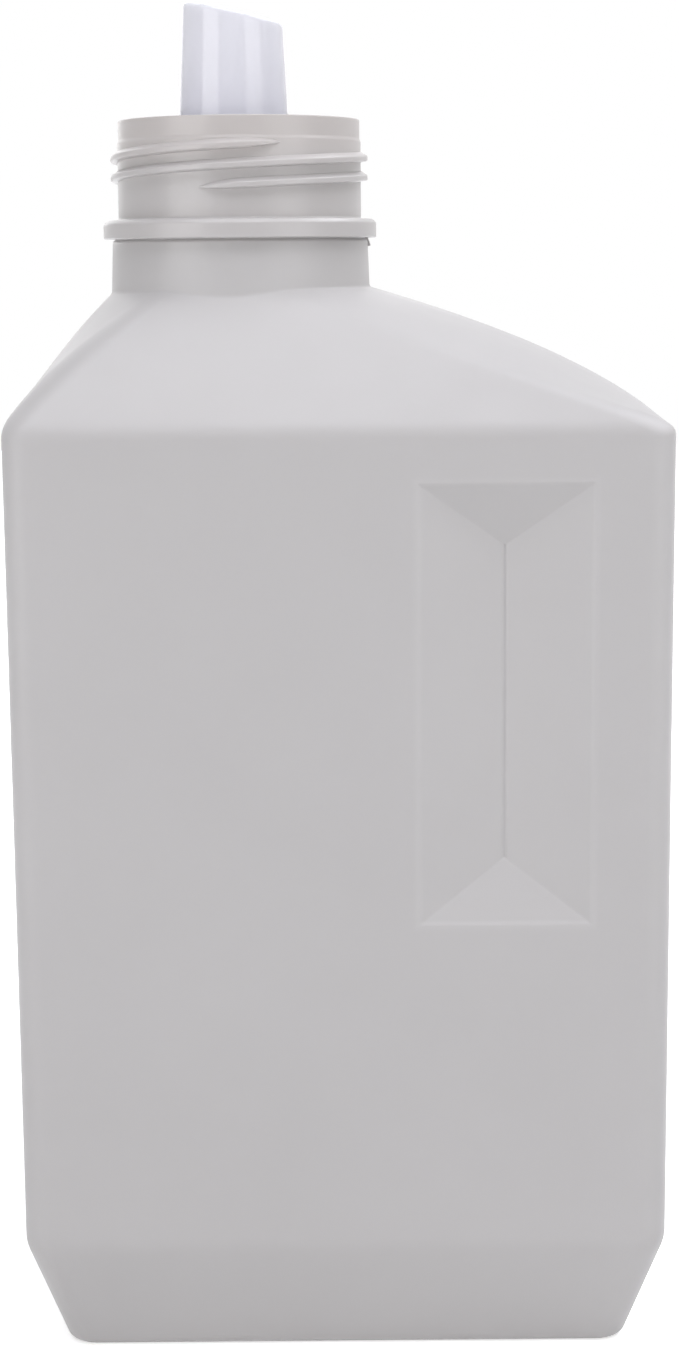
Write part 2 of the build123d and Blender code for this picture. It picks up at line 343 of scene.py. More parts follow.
def spaced(start, end, step):
    """Even places from start to end, with a supporting place close to each end."""
    inner_start, inner_end = start + support, end - support
    count = max(1, round((inner_end - inner_start) / step))
    return [start, *np.linspace(inner_start, inner_end, count + 1), end]


flat_half = body_width / 2 - corner_radius
hole_half_width = recess_width / 2 + recess_edge_reach
hole_left, hole_right = recess_x - hole_half_width, recess_x + hole_half_width
before_hole = spaced(-flat_half, hole_left, wide_step)
across_hole = spaced(hole_left, hole_right, fine_step)
after_hole = spaced(hole_right, flat_half, fine_step)
front_places = np.array([*before_hole[:-1], *across_hole[:-1], *after_hole[:-1]])
front_shares = (front_places + flat_half) / (2 * flat_half)
back_shares = np.array([0, *(1 - front_shares[:0:-1])])
ridge_shares = np.arange(ridge_steps) / ridge_steps
side_shares = np.arange(side_steps) / side_steps
edge_shares = [ridge_shares, side_shares, ridge_shares, back_shares] * 2
edge_shares[front_edge] = front_shares
edge_starts = np.cumsum([0] + [len(shares) for shares in edge_shares])
column_count = int(edge_starts[-1])
hole_first, hole_last = len(before_hole) - 1, len(before_hole) + len(across_hole) - 2
print("columns round the bottle:", column_count)

# %% One ring of points from a section
least_angle = 1e-4  # a straight edge counts as an arc as flat as this


def along_edge(start, middle_point, end, shares):
    """Points along the line or arc through three points."""
    centre = (start + end) / 2
    bulge = middle_point - centre
    half_chord = np.linalg.norm(end - start) / 2
    half_angle = max(least_angle, 2 * math.atan2(np.linalg.norm(bulge), half_chord))
    angles = half_angle * (2 * shares - 1)
    across = np.sin(angles) / math.sin(half_angle)
    outward = (np.cos(angles) - math.cos(half_angle)) / (1 - math.cos(half_angle))
    return centre + np.outer(across, (end - start) / 2) + np.outer(outward, bulge)


def ring(points):
    """One ring of the grid, from the sixteen points of a section."""
    ends = [*points[2::2], points[0]]
    edges = zip(points[::2], points[1::2], ends, edge_shares)
    return np.concatenate([along_edge(*edge) for edge in edges])


print("points in a ring:", len(ring(oblong_section(0, 0, corner_radius))))

# %% [markdown]
# ## From the base to the shoulder
# The rows of the grid climb the bottle. On the way they round the base edge, the crease above the foot and
# the shoulder's edge. A Bevel modifier could round those too, but with one width for all. Here each edge is
# a parabola between its two sides instead, so the shoulder's edge can be crisper along the flat front and
# back than along the sides. In front the photograph shows it so, and the back is made the same.

# %% Rows of the base, the foot and the wall
bend_steps = 7
base_middle_half_depth, base_middle_corner = 6, 3.0  # of the innermost row under the base
first_foot_level, foot_row_count = 8, 3
row_steps = (8.0, 5.0, 3.0)  # between the wall's rows below, beside and above the recess


def bend(before, edge, after, steps=bend_steps):
    """Rows that round an edge on a parabola, which leaves and arrives in line with its sides."""
    shares = np.linspace(0, 1, steps + 1)
    return [before * (1 - t) ** 2 + edge * 2 * t * (1 - t) + after * t ** 2 for t in shares]


def foot_section(inset, z):
    """Section of the foot, which tapers downwards."""
    return oblong_section(inset + foot_inset * (foot_height - z) / foot_height, z, corner_radius - inset)


def base_sections(inset, floor_level):
    """Hollow under the base, standing ring and rounded base edge."""
    ring_inset = foot_inset + standing_ring_width - inset
    foot_share = (foot_height - floor_level) / foot_height
    ground_inset = inset + foot_inset * foot_share + base_edge_reach

    def hollow(z):
        draft = push_up_draft * z
        return oblong_section(ring_inset + draft, z, standing_ring_width - draft)

    hollow_top = push_up_depth + inset
    middle_row = oblong_section(body_depth / 2 - base_middle_half_depth, hollow_top, base_middle_corner)
    ground = oblong_section(ground_inset, floor_level, corner_radius - inset)
    edge_top = floor_level + base_edge_reach
    return [middle_row, hollow(hollow_top), hollow(floor_level), ground,
            *bend(ground, foot_section(inset, floor_level), foot_section(inset, edge_top)),
            foot_section(inset, edge_top + support)]


def body_sections(inset, drop):
    """Foot, crease and straight wall, with rows along the top and bottom of the grip recess."""
    corner = corner_radius - inset
    crease_bottom, wall_bottom = foot_height - foot_crease_reach, foot_height + foot_crease_reach
    wall_top = body_top - drop - front_edge_sag - side_edge_reach - support
    hole_half_height = recess_height / 2 + recess_edge_reach * recess_hip_run / (recess_width / 2)
    below = spaced(wall_bottom, recess_z - hole_half_height, row_steps[0])
    beside = spaced(below[-1], recess_z + hole_half_height, row_steps[1])
    above = spaced(beside[-1], wall_top, row_steps[2])
    foot_levels = np.linspace(first_foot_level, crease_bottom - support, foot_row_count)
    foot_rows = [foot_section(inset, z) for z in foot_levels]
    crease_rows = bend(foot_section(inset, crease_bottom), oblong_section(inset, foot_height, corner),
                       oblong_section(inset, wall_bottom, corner))
    wall_rows = [oblong_section(inset, z, corner) for z in (*below[1:-1], *beside[:-1], *above)]
    first_beside = len(foot_rows) + len(crease_rows) + len(below) - 2
    return foot_rows + crease_rows + wall_rows, (first_beside, first_beside + len(beside) - 1)


print("rows of the base:", len(base_sections(0, 0)), "and of the body:", len(body_sections(0, 0)[0]))

# %% Rows of the shoulder
slope_samples = 120
soft_side, crisp_flat = np.zeros(side_steps), np.ones(len(front_shares))
crispness = np.concatenate([1 - ridge_shares, soft_side, ridge_shares, crisp_flat] * 2)[:, None]

sag_middle = (side_edge_sag + front_edge_sag) / 2
half_round_sag = (front_edge_sag, sag_middle, side_edge_sag, side_edge_sag,
                  side_edge_sag, sag_middle, front_edge_sag, front_edge_sag)
edge_sag = np.outer(half_round_sag * 2, (0, 0, 1))  # for the sixteen points of a section


def slope_table(inset, drop):
    """Rows of the shoulder, close together, from its rounded edge to the round top."""
    corner = corner_radius - inset
    edge = oblong_section(inset, body_top - drop, corner) - edge_sag
    crown = crown_section(inset, body_top + shoulder_rise * crown_level - drop)
    top = neck_section(shoulder_top_radius - inset, shoulder_top - drop)

    def slope(share):
        """Section at a share of the rise, on parabolas through edge, crown and top."""
        at_edge = (share - crown_level) * (share - 1) / crown_level
        at_crown = share * (share - 1) / (crown_level * (crown_level - 1))
        at_top = share * (share - crown_level) / (1 - crown_level)
        return edge * at_edge + crown * at_crown + top * at_top

    def edge_and_slope(reach):
        """Rows round the shoulder's edge, and rows up to the round top, for an edge that runs this far."""
        wall_end = edge - (0, 0, reach)
        edge_rows = [ring(points) for points in bend(wall_end, edge, slope(reach / shoulder_rise))]
        shares = np.linspace(reach / shoulder_rise, 1, slope_samples + 1)
        return np.array(edge_rows), np.array([ring(slope(share)) for share in shares])

    crisp, soft = edge_and_slope(front_edge_reach), edge_and_slope(side_edge_reach)
    edge_rows, table = (here * crispness + there * (1 - crispness) for here, there in zip(crisp, soft))
    return list(edge_rows), table


print("rows and columns of the shoulder's table:", slope_table(0, 0)[1].shape[:2])

# %% [markdown]
# ## The neck
# The round neck meets slopes of different steepness, so its foot waves up and down round the bottle. A
# Boolean would find that line, but it would break the grid. Instead each column looks for the place where
# its slope runs into the neck, and the corner there is softened. From there up the neck is turned: an
# outline with a collar, a rim band and a stepped mouth, which runs over the rim and down the bore.

# %% Neck root, column by column
# The collar's top lies half a millimetre lower than in the CAD, and it is flatter, with a bevelled edge.
neck_root_radius = 23.0
neck_root_level = shoulder_top - 8  # well inside the shoulder
under_collar_radius = 22.4
collar_radius = 23.95
collar_top = rim - 16.9
collar_fall = 0.1  # of its top, from the neck out to the edge
collar_edge = 0.65  # bevel round the top edge
collar_bottom = collar_top - 3.36
undercut_height, undercut_depth = 0.5, 0.5  # of the groove right under the collar
neck_root_reach = 0.45
slope_rows = 26


def neck_cone(z):
    """Radius of the plain neck under the collar."""
    share = (z - neck_root_level) / (collar_bottom - neck_root_level)
    return neck_root_radius + (under_collar_radius - neck_root_radius) * share


def along_column(column, place):
    """Point at a fractional index of a column of points."""
    index = min(int(place), len(column) - 2)
    return column[index] + (column[index + 1] - column[index]) * (place - index)


def slope_and_root(table):
    """Rows up the shoulder and round the neck's foot, and the angle of each column round the neck."""
    columns, angles = [], []
    for column in np.swapaxes(table, 0, 1):
        reach = np.hypot(column[:, 0] - neck_offset, column[:, 1]) - neck_cone(column[:, 2])
        first_inside = int(np.argmax(reach < 0))
        step_back = reach[first_inside - 1] / (reach[first_inside - 1] - reach[first_inside])
        place = first_inside - 1 + step_back
        corner = along_column(column, place)
        step = np.linalg.norm(column[first_inside] - column[first_inside - 1])
        start_place = place - neck_root_reach / step
        angle = math.atan2(corner[0] - neck_offset, -corner[1])
        top_z = corner[2] + neck_root_reach
        top = on_circle(neck_offset, 0, neck_cone(top_z), math.degrees(angle), top_z)
        rows = [along_column(column, start_place * k / slope_rows) for k in range(1, slope_rows)]
        columns.append(rows + bend(along_column(column, start_place), corner, top))
        end = column[-1]
        angles.append(math.atan2(end[0] - neck_offset, -end[1]))
    return list(np.swapaxes(np.array(columns), 0, 1)), np.array(angles)


print("neck radius at the shoulder and under the collar:",
      [round(neck_cone(z), 2) for z in (shoulder_top, collar_bottom)])

# %% Outline of the neck from the collar, over the rim and down the bore
thread_root_radius = 21.3
rim_band_radius = 21.1
rim_band_height = 3.3
rim_band_bevel = 0.5
bore_radius = 19.0
mouth_radius = bore_radius + 1.0
mouth_step = rim - 1.3
throat_radius = shoulder_top_radius - wall
throat_drop = wall / 2
collar_soft = 0.25  # how far the rounding of a corner runs to each side
corner_steps = 4
corner_share = 0.3  # of a side that a rounding may take up
corner_support = 1.5  # a supporting point lies this many times as far from the corner
plain_neck_end = collar_bottom - 2
undercut_start = collar_bottom - undercut_height


def soften(outline, reach):
    """Outline of (radius, height) points with its corners rounded and supporting points beside them."""
    outline = [np.array(point, float) for point in outline]
    rounded = [outline[0]]
    for before, corner, after in zip(outline, outline[1:], outline[2:]):
        back, on = before - corner, after - corner
        room = min(reach, corner_share * np.linalg.norm(back), corner_share * np.linalg.norm(on))
        back, on = back / np.linalg.norm(back), on / np.linalg.norm(on)
        rounded.append(corner + back * room * corner_support)
        rounded += bend(corner + back * room, corner, corner + on * room, corner_steps)
        rounded.append(corner + on * room * corner_support)
    return rounded + [outline[-1]]


neck_outline = soften([
    (neck_cone(plain_neck_end), plain_neck_end), (neck_cone(undercut_start), undercut_start),
    (under_collar_radius - undercut_depth, collar_bottom), (collar_radius, collar_bottom),
    (collar_radius, collar_top - collar_fall - collar_edge),
    (collar_radius - collar_edge, collar_top - collar_fall),
    (thread_root_radius, collar_top), (thread_root_radius, rim - rim_band_height - rim_band_bevel),
    (rim_band_radius, rim - rim_band_height), (rim_band_radius, rim), (mouth_radius, rim),
    (mouth_radius, mouth_step), (bore_radius, mouth_step), (bore_radius, collar_top),
    (throat_radius, collar_bottom), (throat_radius, shoulder_top - throat_drop)], collar_soft)
print("points along the neck's outline:", len(neck_outline))


def neck_rows(angles):
    """Circles along the neck's outline."""
    rows = []
    for radius, z in neck_outline[:-1]:
        rows.append(np.stack([neck_offset + radius * np.sin(angles), -radius * np.cos(angles),
                              np.full_like(angles, z)], 1))
    return rows


# %% [markdown]
# ## The grip recess
# A thumb-wide hollow is pressed into the front, like a hipped roof turned inwards. The back, which the
# photograph doesn't show, gets the same one. A Boolean could press it in, but it would leave ragged faces
# at the edge. So the grid has a rectangular hole there. Smaller and smaller rectangles fill it, each a step
# deeper, until they fold together in the straight valley, and the four folds run exactly along the corners.

# %% Fill a hole of the grid with nested rectangles
recess_steps = (-0.4, -0.2, 0, 0.2, 0.4, 0.6, 0.95, 3.5, 7.0, 10.5, 13.6, 13.95, recess_width / 2)
recess_edge_step = 0.22  # the edge itself is a little steeper than the faces inside it
valley_groove = 0.25  # the valley is pressed in a little deeper than the faces beside it


def recess_depth_at(inside):
    """Depth at a distance inside the recess's edge, with the edge itself softened."""
    slope = (recess_depth - recess_edge_step) / (recess_width / 2)
    share = min(1, (inside + recess_edge_reach) / (2 * recess_edge_reach))
    step = recess_edge_step * share ** 2 * (3 - 2 * share)
    return slope * (inside if share == 1 else recess_edge_reach * share ** 2) + step


def recess_rectangles(boundary, inwards):
    """Nested rings of points from a hole's boundary to the valley. inwards is 1 in the front, -1 behind."""
    half_size = np.abs(boundary - (recess_x, 0, recess_z)).max(axis=0)
    rings = []
    for inside in recess_steps:
        groove = valley_groove if inside == recess_width / 2 else 0
        half_width = recess_width / 2 - inside
        half_height = recess_height / 2 - inside * recess_hip_run / (recess_width / 2)
        shrunk = boundary.copy()
        shrunk[:, 0] = recess_x + (boundary[:, 0] - recess_x) * half_width / half_size[0]
        shrunk[:, 2] = recess_z + (boundary[:, 2] - recess_z) * half_height / half_size[2]
        shrunk[:, 1] = boundary[:, 1] + inwards * (recess_depth_at(inside) + groove)
        rings.append(shrunk)
    return rings


print("recess depth at its edge and in its faces:",
      [round(recess_depth_at(inside), 2) for inside in (0, recess_edge_reach, recess_width / 2)])

# %% [markdown]
# ## Putting the skin together
# The wall has a thickness, which Solidify could add to a single skin. But the inside here has its own
# shape, so one run of rows goes up outside, over the rim and down inside, and closes the shell by itself.
# Neighbouring rows and columns make four-sided faces, a fan of triangles closes the base at each end, and
# the nested rectangles fill the holes. The count of open edges shows whether the shell is closed.

# %% From points to a closed mesh
merge_distance = 1e-7  # metres


def make_piece(name, points, faces):
    """Closed, smooth object at the origin from points in millimetres, with its faces turned outwards."""
    mesh = bpy.data.meshes.new(name)
    mesh.from_pydata([tuple(point) for point in np.array(points) * mm], [], faces)
    shape = bmesh.new()
    shape.from_mesh(mesh)
    bmesh.ops.remove_doubles(shape, verts=shape.verts, dist=merge_distance)
    bmesh.ops.recalc_face_normals(shape, faces=shape.faces)
    open_edges = sum(not edge.is_manifold for edge in shape.edges)
    volume = shape.calc_volume(signed=True) / mm ** 3 / 1000
    shape.to_mesh(mesh)
    shape.free()
    mesh.shade_smooth()
    piece = bpy.data.objects.new(name, mesh)
    scene.collection.objects.link(piece)
    print(name, len(mesh.polygons), "faces,", round(volume, 2), "cm3, open edges:", open_edges)
    return piece


def grid_faces(row, next_row, count, skipped=()):
    """Four-sided faces between two rows of a grid of count columns, apart from skipped columns."""
    return [(row * count + c, row * count + (c + 1) % count, next_row * count + (c + 1) % count,
             next_row * count + c) for c in range(count) if c not in skipped]


def hole_loop(bottom, top, first, last, count):
    """Indices of the points round a hole of the grid, between two rows and two columns."""
    step = 1 if top > bottom else -1
    loop = [(bottom, c) for c in range(first, last)] + [(r, last) for r in range(bottom, top, step)]
    loop += [(top, c) for c in range(last, first, -1)] + [(r, first) for r in range(top, bottom, -step)]
    return [row * count + column for row, column in loop]


# %% All rows, from the hollow under the base over the rim to the inside of the base
def skin_rows(inset, floor_level, drop):
    """Rows of one wall up to the shoulder's edge, its hole rows, and its table of slope rows."""
    base = base_sections(inset, floor_level)
    body, (hole_bottom, hole_top) = body_sections(inset, drop)
    edge_rows, table = slope_table(inset, drop)
    rows = [ring(points) for points in base + body] + edge_rows
    return rows, (hole_bottom + len(base), hole_top + len(base)), table


outer_rows, outer_hole, outer_table = skin_rows(0, 0, 0)
inner_rows, inner_hole, inner_table = skin_rows(wall, wall, throat_drop)
root_rows, neck_angles = slope_and_root(outer_table)
inner_slope = [inner_table[round(slope_samples * k / slope_rows)] for k in range(1, slope_rows + 1)]
outside = outer_rows + root_rows + neck_rows(neck_angles)
rows = outside + (inner_rows + inner_slope)[::-1]
last_row = len(rows) - 1
print("rows of the whole skin:", len(rows))

# %% Faces between the rows, the poles of the base, and the grip recess
front_start = int(edge_starts[front_edge])
back_end = int(edge_starts[back_edge]) + len(front_shares)
hole_columns = [(front_start + hole_first, front_start + hole_last, 1),
                (back_end - hole_last, back_end - hole_first, -1)]
holes = [outer_hole, (last_row - inner_hole[1], last_row - inner_hole[0])]

points = [point for row in rows for point in row]
faces = []
for row in range(last_row):
    skipped = set()
    for bottom, top in holes:
        if bottom <= row < top:
            for first, last, _ in hole_columns:
                skipped.update(range(first, last))
    faces += grid_faces(row, row + 1, column_count, skipped)

for pole_row in (0, last_row):
    pole = len(points)
    points.append(rows[pole_row].mean(axis=0))
    first = pole_row * column_count
    faces += [(first + c, first + (c + 1) % column_count, pole) for c in range(column_count)]

for bottom, top in holes:
    for first, last, inwards in hole_columns:
        loop = hole_loop(bottom, top, first, last, column_count)
        boundary = np.array([points[index] for index in loop])
        for nested in recess_rectangles(boundary, inwards):
            next_loop = [len(points) + k for k in range(len(loop))]
            points += list(nested)
            faces += list(zip(loop, loop[1:] + loop[:1], next_loop[1:] + next_loop[:1], next_loop))
            loop = next_loop

bottle = make_piece("bottle_shell", points, faces)

# %% [markdown]
# ## The bottle's plastic
# Blown polyethylene is matt, slightly milky and never quite even. One flat grey would look like paint, so
# two greys that are almost the same drift into each other over a few centimetres, and a fine grain like the
# mould's breaks the shine. The neck is glossier and a little warmer in colour. A narrow band round the grip
# recess is painted a little lighter: a painted highlight for the light that the recess's rounded edge
# catches.
# All patterns read Object coordinates, so they need no unwrapping and show no seams.

# %% Helpers for finishes
noise_range = (0.3, 0.7)  # most of a noise pattern lies between these
plastic_ior = 1.5


def end_finish(material, **values):
    """Puts a Principled shader with these inputs on the surface."""
    tree = material.node_tree
    shader = node(tree, "ShaderNodeBsdfPrincipled", in_IOR=plastic_ior, **values)
    node(tree, "ShaderNodeOutputMaterial", in_Surface=shader.outputs[0])
    print(material.name, len(tree.nodes), "nodes")


def noise(tree, place, scale, detail=3):
    """Noise pattern in space, its scale in waves for each metre."""
    pattern = node(tree, "ShaderNodeTexNoise", in_Vector=place, in_Scale=scale, in_Detail=detail)
    return pattern.outputs["Fac"]


def bump(tree, place, scale, detail, strength, distance):
    """Normal that makes a fine noise look raised."""
    raised = node(tree, "ShaderNodeBump", in_Height=noise(tree, place, scale, detail),
                  in_Strength=strength, in_Distance=distance)
    return raised.outputs[0]


def blend_colours(tree, share, low_colour, high_colour):
    """Colour that goes from one to the other over the range of a noise."""
    ramp = node(tree, "ShaderNodeValToRGB", in_Fac=share)
    for stop, place, colour in zip(ramp.color_ramp.elements, noise_range, (low_colour, high_colour)):
        stop.position = place
        stop.color = (*colour, 1)
    return ramp.outputs[0]


def spread(tree, share, from_low, from_high, to_low, to_high):
    """Socket that maps one range of numbers to another."""
    ranged = node(tree, "ShaderNodeMapRange", in_Value=share, in_From_Min=from_low, in_From_Max=from_high,
                  in_To_Min=to_low, in_To_Max=to_high)
    return ranged.outputs["Result"]


# %% Where the painted highlight round the grip recess's edge is
# painted highlight: a narrow band round the grip recess's edge is coloured lighter
highlight_band_width = 1.4
highlight_band_start = -0.3  # it rises from just inside the recess's edge


def recess_highlight_band(tree, x, z):
    """Socket that is 1 on a narrow band of painted highlight round the grip recess's edge, and 0 elsewhere.
    """
    across = calculate(tree, "ABSOLUTE", calculate(tree, "SUBTRACT", x, recess_x * mm))
    along = calculate(tree, "ABSOLUTE", calculate(tree, "SUBTRACT", z, recess_z * mm))
    outside = calculate(tree, "MAXIMUM", calculate(tree, "SUBTRACT", across, recess_width / 2 * mm),
                        calculate(tree, "SUBTRACT", along, recess_height / 2 * mm))
    rising = spread(tree, outside, highlight_band_start * mm, 0, 0, 1)
    falling = spread(tree, outside, highlight_band_width / 2 * mm, highlight_band_width * mm, 1, 0)
    return calculate(tree, "MULTIPLY", rising, falling)


# %% Bottle plastic
bottle_greys = ((0.504, 0.490, 0.487), (0.516, 0.502, 0.499))
neck_greys = ((0.530, 0.496, 0.480), (0.542, 0.508, 0.492))
# painted highlight: how much lighter the band round the grip recess's edge is coloured
recess_highlight_gain = 1.025
body_roughness, neck_roughness, roughness_drift = 0.45, 0.31, 0.03
collar_warmth = 0.3  # share of the neck's warmer grey that the collar already has
collar_blend = 1.0  # how far the collar's tone fades in above and below its underside
warm_start = rim - 9  # from here the neck's grey gets warmer, up to the rim band
tone_scale, roughness_scale, grain_scale = 28, 120, 2600  # waves for each metre

bottle_plastic, tree, place = new_finish("bottle_plastic")
spot = node(tree, "ShaderNodeSeparateXYZ", in_Vector=place).outputs
drift = noise(tree, place, tone_scale)
collar_start, collar_end = collar_bottom - collar_blend, collar_bottom + collar_blend
at_collar = spread(tree, spot["Z"], collar_start * mm, collar_end * mm, 0, collar_warmth)
above_collar = spread(tree, spot["Z"], warm_start * mm, (rim - rim_band_height) * mm, 0, 1 - collar_warmth)
tone = node(tree, "ShaderNodeMix", data_type="RGBA",
            in_Factor=calculate(tree, "ADD", at_collar, above_collar),
            in_A=blend_colours(tree, drift, *bottle_greys),
            in_B=blend_colours(tree, drift, *neck_greys))
# painted highlight: the band round the recess's edge is made lighter, standing in for the light its rounded
# edge catches
painted_highlight = spread(tree, recess_highlight_band(tree, spot["X"], spot["Z"]), 0, 1, 1, recess_highlight_gain)
highlighted_tone = node(tree, "ShaderNodeVectorMath", operation="SCALE", in_Vector=tone.outputs["Result"],
              in_Scale=painted_highlight)
polish = spread(tree, spot["Z"], shoulder_top * mm, collar_bottom * mm, body_roughness, neck_roughness)
uneven = spread(tree, noise(tree, place, roughness_scale), *noise_range, -roughness_drift, roughness_drift)
end_finish(bottle_plastic, in_Base_Color=highlighted_tone.outputs[0],
           in_Roughness=calculate(tree, "ADD", polish, uneven),
           in_Normal=bump(tree, place, grain_scale, detail=4, strength=0.12, distance=0.06 * mm),
           in_Subsurface_Weight=0.12, in_Subsurface_Radius=(1.0, 0.9, 0.85), in_Subsurface_Scale=1.5 * mm)
bottle.data.materials.append(bottle_plastic)

# %% [markdown]
# ## The neck thread
# A cap screws onto two ridges that wind round the neck side by side and fade out at both ends. A Screw
# modifier could wind one, but it can't fade. A ridge is one outline swept along a helix, which is just what
# Curve to Mesh does, so Geometry Nodes build it: a spiral, an outline scaled down towards the ends, and one
# copy for each start of the thread.

# %% A node tree with the thread's sizes as its inputs
thread_drop = 11.9  # from the rim down to the start of a ridge
thread_sink = 0.3  # how deep the ridges stand in the neck
thread_start = -90 - 17  # degrees from the grip side, where -90 is the front
thread_sizes = {
    "Starts": 2, "Turns": 1.107, "Lead": 6.6 * mm, "Root Radius": (thread_root_radius - thread_sink) * mm,
    "Height": 1.5 * mm, "Half Crest": 0.45 * mm, "Upper Flank": 1.0 * mm, "Lower Flank": 0.25 * mm,
    "Crest Softness": 0.3 * mm, "Run Out Share": 0.045, "Start Turn": math.radians(thread_start),
}

tree = bpy.data.node_groups.new("neck_thread", "GeometryNodeTree")
tree.interface.new_socket("Geometry", in_out="INPUT", socket_type="NodeSocketGeometry")
tree.interface.new_socket("Geometry", in_out="OUTPUT", socket_type="NodeSocketGeometry")
keys = {}
for label, value in thread_sizes.items():
    kind = "NodeSocketInt" if isinstance(value, int) else "NodeSocketFloat"
    keys[label] = tree.interface.new_socket(label, in_out="INPUT", socket_type=kind).identifier
given = node(tree, "NodeGroupInput").outputs
print("inputs of the thread:", list(keys))

# %% The helix, and how the outline's size fades towards its ends
helix_points = 96  # for each turn
tip_size = 0.03  # share of the full outline that is left at a tip
tip_roundness = 0.5  # a power below 1 makes the tips blunt

helix = node(tree, "GeometryNodeCurveSpiral", in_Resolution=helix_points, in_Reverse=True,
             in_Rotations=given["Turns"], in_Start_Radius=given["Root Radius"],
             in_End_Radius=given["Root Radius"],
             in_Height=calculate(tree, "MULTIPLY", given["Lead"], given["Turns"]))
upright = node(tree, "GeometryNodeSetCurveNormal", mode="Z_UP", in_Curve=helix.outputs[0])
along = node(tree, "GeometryNodeSplineParameter").outputs["Factor"]
from_end = calculate(tree, "PINGPONG", along, 0.5)
fade = node(tree, "ShaderNodeMapRange", in_Value=from_end, in_From_Max=given["Run Out Share"],
            in_To_Min=tip_size)
outline_scale = calculate(tree, "POWER", fade.outputs["Result"], tip_roundness)
print("a ridge climbs", round(thread_sizes["Lead"] * thread_sizes["Turns"] / mm, 2), "mm")

# %% The outline, with a softened crest, swept along the helix
crest_steps = 4

outline = node(tree, "GeometryNodeCurvePrimitiveQuadrilateral", mode="POINTS")
upper_root = calculate(tree, "ADD", given["Half Crest"], given["Upper Flank"])
lower_root = calculate(tree, "ADD", given["Half Crest"], given["Lower Flank"])
drops = (calculate(tree, "MULTIPLY", upper_root, -1), calculate(tree, "MULTIPLY", given["Half Crest"], -1),
         given["Half Crest"], lower_root)
for number, (outward, drop) in enumerate(zip((0, 1, 1, 0), drops), 1):  # the sweep's Y points down
    reach = calculate(tree, "MULTIPLY", given["Height"], outward)
    corner = node(tree, "ShaderNodeCombineXYZ", in_X=reach, in_Y=drop)
    feed(tree, outline.inputs[f"Point {number}"], corner.outputs[0])
soft = node(tree, "GeometryNodeFilletCurve", mode="POLY", in_Curve=outline.outputs[0],
            in_Count=crest_steps, in_Limit_Radius=True, in_Radius=given["Crest Softness"])
swept = node(tree, "GeometryNodeCurveToMesh", in_Curve=upright.outputs[0],
             in_Profile_Curve=soft.outputs[0], in_Scale=outline_scale, in_Fill_Caps=True)
print("a ridge stands out", round(thread_sizes["Height"] / mm - thread_sink, 2), "mm")

# %% One copy for each start, lifted to its place on the neck
starts = node(tree, "GeometryNodePoints", in_Count=given["Starts"])
step = calculate(tree, "DIVIDE", 2 * math.pi, given["Starts"])
turn = calculate(tree, "MULTIPLY", node(tree, "GeometryNodeInputIndex").outputs[0], step)
turned = node(tree, "ShaderNodeCombineXYZ", in_Z=calculate(tree, "ADD", turn, given["Start Turn"]))
rotation = node(tree, "FunctionNodeEulerToRotation", in_Euler=turned.outputs[0])
copies = node(tree, "GeometryNodeInstanceOnPoints", in_Points=starts.outputs[0],
              in_Instance=swept.outputs[0], in_Rotation=rotation.outputs[0])
lifted = node(tree, "GeometryNodeTransform", in_Geometry=copies.outputs[0],
              in_Translation=(neck_offset * mm, 0, (rim - thread_drop) * mm))
real = node(tree, "GeometryNodeRealizeInstances", in_Geometry=lifted.outputs[0])
smooth = node(tree, "GeometryNodeSetShadeSmooth", in_Geometry=real.outputs[0])
painted = node(tree, "GeometryNodeSetMaterial", in_Geometry=smooth.outputs[0], in_Material=bottle_plastic)
feed(tree, node(tree, "NodeGroupOutput").inputs[0], painted.outputs[0])
print("nodes of the thread:", len(tree.nodes))

# %% Grow the thread and keep its mesh without the modifier
thread = bpy.data.objects.new("neck_thread", bpy.data.meshes.new("neck_thread"))
scene.collection.objects.link(thread)
modifier = thread.modifiers.new("neck_thread", "NODES")
modifier.node_group = tree
for label, value in thread_sizes.items():
    modifier[keys[label]] = value
grown = bpy.data.meshes.new_from_object(thread.evaluated_get(bpy.context.evaluated_depsgraph_get()))
thread.modifiers.remove(modifier)
thread.data = grown
print("neck_thread", len(grown.polygons), "faces")

# %% [markdown]
# ## The nib under the collar
# Under the collar, on the grip side, stands a nib no bigger than a grain of rice. An extruded curve could
# make it, but a wedge this small needs only a few points: one outline, seen from the front, given a width.

# %% Nib
# The outline's points say how far they lie outward from the neck and up from the collar's underside.
nib_outline = ((-0.8, 0.0), (0.05, 0.0), (0.5, -1.2), (0.5, -1.4), (0.0, -1.55), (-0.8, -1.55))
nib_half_width = 0.6

nib_start = neck_offset + under_collar_radius
corner_count = len(nib_outline)
nib_points = [(nib_start + outward, side, collar_bottom + up)
              for side in (-nib_half_width, nib_half_width) for outward, up in nib_outline]
nib_faces = [tuple(range(corner_count)), tuple(range(corner_count, 2 * corner_count))]
for here in range(corner_count):
    after = (here + 1) % corner_count
    nib_faces.append((here, after, after + corner_count, here + corner_count))
nib = make_piece("neck_nib", nib_points, nib_faces)
nib.data.shade_flat()
nib.data.materials.append(bottle_plastic)

# %% [markdown]
# ## The pour spout
# The spout is one glossy white moulding. Its flange lies on a step in the mouth, a well catches the drips,
# and a tube cut off aslant stands in the well, with a window at its foot where drips run back. A spun
# outline could not be aslant, so it is made of rings again: from the skirt over the flange, down the well,
# across its sloping floor, up the tube and down inside it.

